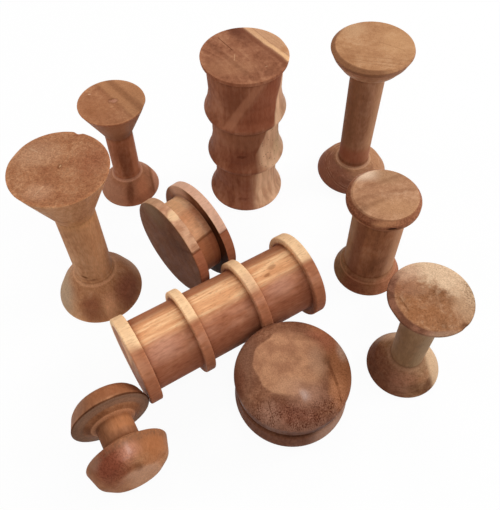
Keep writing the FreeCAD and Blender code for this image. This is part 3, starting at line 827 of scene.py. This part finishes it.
# Painted reflection: a pale patch at the back right, where the dome catches the light.
w.paint((30, 14, 42), (3.5, 8, 7), (190, 150, 126), 0.6, 0.7)
w.paint((-29, 6, 42), (8, 20, 12), (122, 82, 62))
w.paint((-33, -5, 42), (5, 10, 8), (92, 44, 26))
w.paint((-2, -28, 43), (16, 7, 9), (116, 66, 48), 0.7)
w.paint((-14, -28, 43), (6, 7, 8), (150, 108, 86), 0.7)
w.paint((4, -34, 41), (14, 3, 6), (142, 96, 74), 0.7)
dash = w.cloud((0.5, 0.85, 1), 5, 3, 0.44, 0.62)
open_grain = w.past((0, -19, 44), (0.1, -1, 0), 5) * crown
w.stain(open_grain * w.cloud((4, 5, 5), 12, 3), (170, 118, 94), 0.3)
w.darken(open_grain * dash * w.cloud((5, 6, 6), 7, 2, 0.2, 0.6), 0.95, (0.32, 0.16, 0.11, 1))
w.darken(w.cloud((1, 1, 1), 3, 3, 0.45, 0.62) * crown, 0.28)
w.darken(w.nick((20.5, 3, 47.8), (24.8, -9.5, 46), 1.6), 0.5)
w.darken(w.nick((24.8, -9.5, 46), (26.6, -19, 43.6), 1.4), 0.4)
crisp = w.spot((-3.3, 3.4, 48.5), (20, 21, 30), 0.04) * w.past((4, -2, 48), (-0.9, -0.5, 0), 5)
fading = w.spot((-3.4, 2.8, 48.5), (21.5, 20.5, 30), 0.25) * w.past((4, -2, 48), (0.9, 0.5, 0), 5)
rubbed = w.ramp(w.cloud((9, 9, 9), 9, 3), (0.1, (152, 101, 72)), (0.8, (174, 121, 87)))
w.stain(crisp + fading, rubbed, 0.95)
w.paint((-3, -13, 50), (9, 5, 5), (180, 130, 98), 0.5)
w.paint((14, 3, 49), (5, 8, 5), (170, 124, 94), 0.5)
w.dim((6.7, -12.6, 49.5), (3.4, 2.4, 3), 0.5, 0.7)
w.dim((8, 19, 48), (9, 2.6, 4), 0.3, 0.7)
w.dim((1, 6, 51), (6, 3, 4), 0.2, 0.8)
w.dim((20, 4, 48), (2.4, 3.4, 3), 0.45)
w.darken(w.nick((-15.3, -20.1, 46.4), (-12.8, -28.9, 44.2), 0.4), 0.8)
w.darken(w.nick((-14.3, -20.3, 46.4), (-12.2, -27.4, 44.6), 0.35), 0.5)
lower = w.span(-2, 28, 1.5)
w.stain(lower, (100, 58, 40), 0.75)
w.darken(lower * w.cloud((1.4, 1.4, 4), 9, 3, 0.42, 0.62), 0.3)
w.stain(w.span(10, 26, 2) * w.past((12, -20, 20), (1, 0, 0), 6), (172, 128, 104))
# Painted shade: the groove is darkened.
w.darken(w.span(24, 38, 2), 0.55)
# Painted highlight: a warm pale halo round the burnished spot.
w.paint((6.5, -17, 48), (8, 6, 8), (172, 124, 98), 0.45, 0.8)
shine = w.spot((6.5, -17, 48), (3.2, 2.8, 3.2), 0.8)
coated(w, oil=(1.14, 1.24, 1.32), rim_polish_and_highlight=0, burnish=shine * 0.8)

# %% [markdown]
# ## Disc spool
# The near face is a dull grey brown, olive at the top, with one dark line of growth. Sapwood
# takes the upper part of both rims and of the hub, and ends at the same dark plane in all three,
# with plain red heartwood below it. A cream patch shows on the near rim. The lower front of the
# far disc's inner face is painted nearly black, as the shadow under the hub.

# %% Disc spool
w = billet("disc_spool", pith=(-20, -70), seed=18.1,
           face=((116, 72, 48), (134, 86, 58), (152, 104, 74)),
           side=((148, 94, 68), (176, 118, 86), (206, 152, 118)))
outer = (0.892, -0.452, -0.06)
rims = 1 - w.end
pale = w.past((19, 20.5, 10), outer, 0.8)
light = w.ramp(w.cloud((5, 5, 5), 3, 3), (0.1, (200, 148, 114)), (0.9, (232, 184, 148)))
w.stain(rims * pale, light, 0.85)
w.stain(rims * (1 - pale), (172, 102, 72))
w.stain(rims * w.past((28, -14, 10), (0.5, -0.86, 0), 5), (184, 146, 112))
bay = w.span(7.6, 22.6, 0.4)
w.stain(bay * w.past((24, -6, 15), (0.6, -0.8, 0), 6), (250, 204, 156), 0.7)
w.paint((23, 15, 15), (6, 7, 9), (244, 186, 146), 0.5, on=bay)
w.paint((27, 5, 17), (6, 5, 9), (222, 152, 112), on=bay)
w.stain(bay * w.span(19, 24, 1.5) * w.past((24, 0, 20), (0.1, 1, 0), 8), (178, 112, 74))
w.darken(bay * w.cloud((3, 3, 3), 6, 3, 0.42, 0.62), 0.18)
w.stain(bay * w.span(6, 18, 1), (248, 176, 118), 0.3)
w.stain(bay * (1 - pale), (166, 96, 64), 0.5)
w.darken(w.layer((19, 20.5, 10), outer, 0.3, 1.1) * rims, 0.75)
patch = w.spot((36, 4.2, 4.6), (5, 4.8, 4), 0.25) * w.between(w.radius, 34.5, 35.5)
w.stain(patch, (254, 214, 168), 0.9)
near = w.end * w.span(-1, 1, 0.5)
w.paint((28, -15, 0), (12, 12, 5), (156, 126, 90), 0.75, 0.7, on=near)
w.dim((14, -2, 0), (14, 12, 5), 0.25, 0.7, on=near)
w.dim((14, 14, 0), (8, 9, 5), 0.3, 0.7, on=near)
w.darken(w.nick((12, 11, 0), (23, 28.5, 0), 1.6), 0.5)
w.paint((-16, 12, 0), (20, 16, 5), (142, 88, 62), 0.5, 0.7, on=near)
inner = w.end * w.span(21, 24.5, 0.4)
w.paint((28, -18, 23), (11, 11, 4), (226, 184, 154), 0.85, on=inner)
# Painted shadow: the lower front of the far disc's inner face, under the hub, is darkened nearly to
# black.
w.darken(inner * w.past((20, 6, 23), (-0.6, 0.8, 0), 8), 0.85, (0.2, 0.14, 0.1, 1))
far = w.span(23.6, 32, 0.4)
w.stain(far * pale, (228, 184, 160))
w.darken(far * (1 - pale), 0.3)
w.stain(near, (118, 88, 70), 0.35)
coated(w, oil=(0.9, 0.87, 0.86), rim_polish_and_highlight=0.1)

# %% [markdown]
# ## Four-ring spool
# Straw sapwood with fine dark pore dashes lies along its top and paler still on the rings, and
# red brown heartwood takes over at both sides. Each bay is painted a little darker beside its
# rings, as shade.

# %% Four-ring spool
w = billet("four_ring_spool", pith=(-30, 60), seed=20.3, figure=0.2,
           face=((160, 104, 74), (184, 128, 92), (206, 152, 114)),
           side=((150, 88, 60), (176, 110, 78), (200, 136, 100)))
straw = w.ramp(w.cloud((2.2, 2.2, 30), 3.1, 3),
               (0.1, (222, 156, 108)), (0.6, (238, 178, 128)), (0.9, (248, 198, 148)))
barrel = w.between(w.radius, 25.5, 24.5)
heart = w.past((23.2, 7.8, 60), (-0.25, 0.97, 0), 3.5)
w.stain(1 - heart, straw, 0.9)
w.stain(barrel * w.past((21.8, -9, 60), (-0.3, -0.95, 0), 3.5), (156, 92, 62), 0.85)
w.stain(w.past((16, 19, 60), (-0.6, 0.8, 0), 6), (148, 84, 58))
w.paint((20, 13, 19), (6, 7, 11), (208, 150, 124), 0.5, 0.7, on=barrel)
w.paint((20, 12, 102), (6, 5, 9), (196, 140, 116), 0.5, 0.7, on=barrel)
rings = w.between(w.radius, 25.5, 26.5)
w.stain(rings * (1 - heart), (250, 206, 158), 0.75)
w.stain(rings * heart, (172, 106, 72), 0.5)
w.paint((28, 4, 84), (6, 7, 9), (214, 162, 124), on=rings * w.span(78, 91, 2))
# Painted shade: each bay is darkened a little beside its rings.
for middle in (8, 39, 45.5, 81, 88, 120.4):
    w.stain(barrel * w.layer((0, 0, middle), (0, 0, 1), 0.6, 3.4), (156, 92, 62), 0.25)
w.darken((1 - heart) * w.cloud((0.55, 0.8, 3.5), 8, 3, 0.56, 0.66), 0.28)
w.darken(heart * w.cloud((1.2, 1.2, 5), 5, 3, 0.45, 0.62), 0.2)
w.dim((23.7, -0.5, 103.4), (2, 1.6, 3), 0.5, 0.4)
w.dim((23.5, 2.9, 97.3), (2, 1, 2.2), 0.6, 0.4)
w.paint((24, 14, 0), (8, 12, 5), (192, 130, 94), 0.5)
w.stain(w.spot((19, 18, 60), (5, 6, 90)) * w.cloud((4, 4, 14), 1), (206, 146, 116), 0.5)
coated(w, oil=(0.99, 1.04, 1.08), pore=0.15, grain=0.1, rim_polish_and_highlight=0.2)

# %% [markdown]
# ## Dome-ended spool
# Orange brown. The back of the far dome is grey with dust, and a dark crease runs round its
# edge. A bright bead ends the spindle. The near dome has one burnished spot on top with a painted
# highlight on it, is mottled red to the left of it and plain orange at the right, and its flat end
# has been rubbed pale.

# %% Dome-ended spool
w = billet("dome_ended_spool", pith=(-20, 60), seed=22.9,
           face=((140, 88, 58), (160, 104, 70), (180, 126, 90)),
           side=((134, 84, 56), (154, 100, 68), (174, 118, 84)))
w.paint((18, 10, 46), (13, 10, 10), (128, 62, 44), 0.85)
# Painted highlight: a warm pale spot on the burnished spot of the near dome.
w.paint((22, -1, 45), (5, 5, 5), (206, 134, 106), 0.5, 0.8)
w.dim((18, 9, 46), (12, 13, 10), 0.4, on=w.cloud((1, 1, 1), 4, 3, 0.45, 0.6))
w.paint((15, -17, 46), (12, 10, 10), (176, 108, 66))
w.stain(w.span(37, 41.5, 1) * w.cloud((1.6, 1.6, 1.6), 4, 3), (122, 84, 62))
w.paint((16, 17, 40), (5, 6, 4), (156, 116, 94), 0.5)
flat = w.between(w.radius, 16, 12.4) * w.span(51.5, 56, 0.8)
w.stain(flat * w.past((0, 5, 53), (0.1, -1, 0), 5), (194, 142, 110), 0.8)
w.dim((14.2, -2.7, 52.6), (3.2, 2.4, 2), 0.6)
w.paint((22, -6, 6), (9, 12, 9), (146, 86, 54), on=w.span(-1, 11, 1))
w.paint((14, 17, 6), (10, 9, 9), (146, 106, 84), on=w.span(-1, 12, 1))
crease = w.layer((0, 0, 13.3), (0, 0, 1), 0.5, 1.1) * w.between(w.radius, 20.5, 22.5)
w.darken(crease, 0.95, (0.25, 0.2, 0.18, 1))
back = w.span(13.4, 17, 0.3)
w.stain(back * w.between(w.radius, 17, 19), (158, 120, 96), 0.7)
w.darken(back * w.spot((2, 22, 14), (14, 8, 6)), 0.45, (0.45, 0.4, 0.34, 1))
w.darken(back * w.between(w.radius, 17.5, 15.5) * w.between(w.radius, 12.8, 14), 0.3)
bead = w.layer((0, 0, 16.7), (0, 0, 1), 0.4, 0.7) * w.between(w.radius, 14.4, 13.4)
w.stain(bead, (214, 152, 112), 0.7)
w.stain(w.span(17, 26, 2) * w.past((5, -5, 20), (0.7, -0.7, 0), 5), (198, 128, 82))
w.darken(w.span(17.5, 36, 2) * w.past((8, 5, 24), (-0.6, 0.8, 0.1), 5), 0.45)
shine = w.spot((22, -1, 45), (4.5, 4, 4.5), 0.8)
coated(w, oil=(1, 1.04, 1.06), rim_polish_and_highlight=0.2, burnish=shine * 0.6)

# %% [markdown]
# ## The camera
# It looks steeply down from the front, as one does at small things on a bench. Its place, its
# tilt and its small roll are set as one frame of three directions. The lens follows from its
# focal length in pixels on the long side of the picture, and a small shift sets its middle.

# %% Camera
CAMERA_AT = Vector((4.71, -241.42, 388.0)) * MM
SENSOR_WIDTH = 36
LOOKS_DOWN = math.radians(53.755)
ROLL = math.radians(-0.736)
WIDE, HIGH = 500, 510
FOCAL_PIXELS = 630.218
LENS_MIDDLE = (247.458, 243.7)

lens = bpy.data.cameras.new("camera")
lens.sensor_width = SENSOR_WIDTH
lens.lens = FOCAL_PIXELS * SENSOR_WIDTH / HIGH
lens.shift_x = (WIDE / 2 - LENS_MIDDLE[0]) / HIGH
lens.shift_y = (LENS_MIDDLE[1] - HIGH / 2) / HIGH
forward = Vector((0, math.cos(LOOKS_DOWN), -math.sin(LOOKS_DOWN)))
level, upward = Vector((1, 0, 0)), Vector((0, math.sin(LOOKS_DOWN), math.cos(LOOKS_DOWN)))
right = level * math.cos(ROLL) + upward * math.sin(ROLL)
up = upward * math.cos(ROLL) - level * math.sin(ROLL)
camera = added("camera", lens)
turn = Matrix((right, up, -forward)).transposed().to_4x4()
camera.matrix_world = Matrix.Translation(CAMERA_AT) @ turn
bpy.context.scene.camera = camera
print("camera: lens of", round(lens.lens, 1), "mm")

# %% [markdown]
# ## The floor
# A wide sheet of white paper. The camera and the spools' gloss see it almost as glowing white,
# with a little of its shaded surface mixed in, so that soft shadows stay. To all other light it
# is plain matt paper, and it throws no more light on the wood than paper would.

# %% Floor
FLOOR_HALF_SIDE = 6.0
WHITE_SHARE = 0.95
PAPER = (0.85, 0.85, 0.85, 1)
WHITE = (1, 1, 1, 1)

floor_mesh = bpy.data.meshes.new("floor")
sheet = bmesh.new()
bmesh.ops.create_grid(sheet, x_segments=1, y_segments=1, size=FLOOR_HALF_SIDE)
sheet.to_mesh(floor_mesh)
sheet.free()
floor = added("floor", floor_mesh)


def seen_as_white(finish):
    """1 for what the camera sees, straight or in gloss or through glass, 0 for other light."""
    straight, gloss, through = (finish.node("LightPath", output=f"Is {kind} Ray")
                                for kind in ("Camera", "Glossy", "Transmission"))
    return straight + gloss + through


paper = Finish(bpy.data.materials.new("floor_paper"))
matt = paper.node("BsdfDiffuse", {"Color": PAPER})
glow = paper.node("Emission", {"Color": WHITE, "Strength": 1.0})
both = paper.node("MixShader", {0: seen_as_white(paper) * WHITE_SHARE, 1: matt, 2: glow})
paper.node("OutputMaterial", {"Surface": both})
floor_mesh.materials.append(paper.owner)
print("floor:", 2 * FLOOR_HALF_SIDE, "m of white paper")

# %% [markdown]
# ## The light
# A room with large windows: the strongest to the right and a little behind, two weaker ones
# behind and to the left, a faint one in front, and one small lamp nearly overhead for the shine
# on the burnished spots of the two domes. Each is a round softbox turned towards the spools. The
# room itself adds a weak even light, and it looks white to the camera.

# %% Light
WINDOW_DISTANCE = 2.0
WINDOWS = {
    # way round from the front, height above the floor in degrees, width in metres, watts
    "right_window": (108, 36, 1.0, 19.5),
    "back_window": (180, 50, 1.0, 8.6),
    "left_window": (268, 38, 1.0, 9.2),
    "front_window": (15, 50, 1.0, 6.8),
    "overhead_lamp": (45, 75, 0.3, 4.0),
}
ROOM_LIGHT = 0.3


def softbox(name, around, above, width, power):
    """A round lamp at the windows' distance, turned towards the spools."""
    around, above = math.radians(around), math.radians(above)
    way = Vector((math.sin(around) * math.cos(above), -math.cos(around) * math.cos(above),
                  math.sin(above)))
    lamp = bpy.data.lights.new(name, "AREA")
    lamp.shape = "DISK"
    lamp.size = width
    lamp.energy = power
    box = added(name, lamp)
    box.location = way * WINDOW_DISTANCE
    box.rotation_euler = way.to_track_quat("Z", "Y").to_euler()


for name, window in WINDOWS.items():
    softbox(name, *window)

world = bpy.data.worlds.new("room")
bpy.context.scene.world = world
room = Finish(world)
light = room.node("Background", {
    "Color": WHITE, "Strength": seen_as_white(room) * (1 - ROOM_LIGHT) + ROOM_LIGHT})
room.node("OutputWorld", {"Surface": light})
bpy.context.scene.view_settings.view_transform = "Standard"
print("light:", len(WINDOWS), "softboxes")
